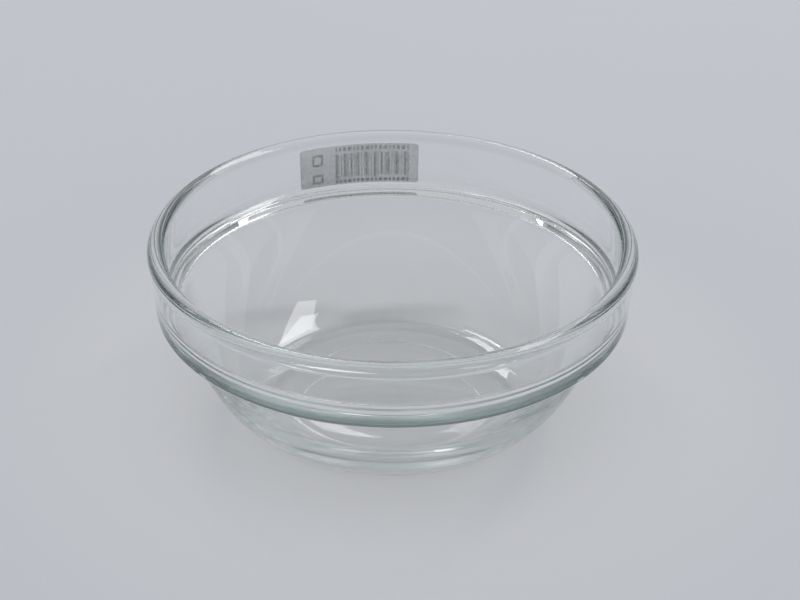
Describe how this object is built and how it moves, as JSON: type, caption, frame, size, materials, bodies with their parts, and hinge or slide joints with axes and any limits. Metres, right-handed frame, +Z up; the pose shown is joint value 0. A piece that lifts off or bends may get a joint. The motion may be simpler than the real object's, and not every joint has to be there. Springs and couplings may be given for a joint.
{
  "type": "prep bowl",
  "caption": "Clear pressed-glass prep bowl with a rounded lip, a straight band, a stacking ledge under it and a small printed label stuck on the back.",
  "frame": {"origin": "centre of the foot ring, on the table", "axes": "+Z up along the bowl's axis, +Y towards the label at the back of the band, +X to the right seen from the front"},
  "size_m": [0.17, 0.17, 0.066],
  "materials": {
    "clear_glass": "fire-polished clear soda-lime glass with a faint green edge tint",
    "label_adhesive": "thin clear pressure-sensitive adhesive, slightly grey where it wets the glass",
    "label_film": "thin translucent grey label film",
    "label_ink": "matt dark grey printing ink"
  },
  "bodies": {
    "root": {"bowl": "clear_glass", "label_adhesive": "label_adhesive", "label_film": "label_film", "label_print": "label_ink"}
  },
  "joints": []
}
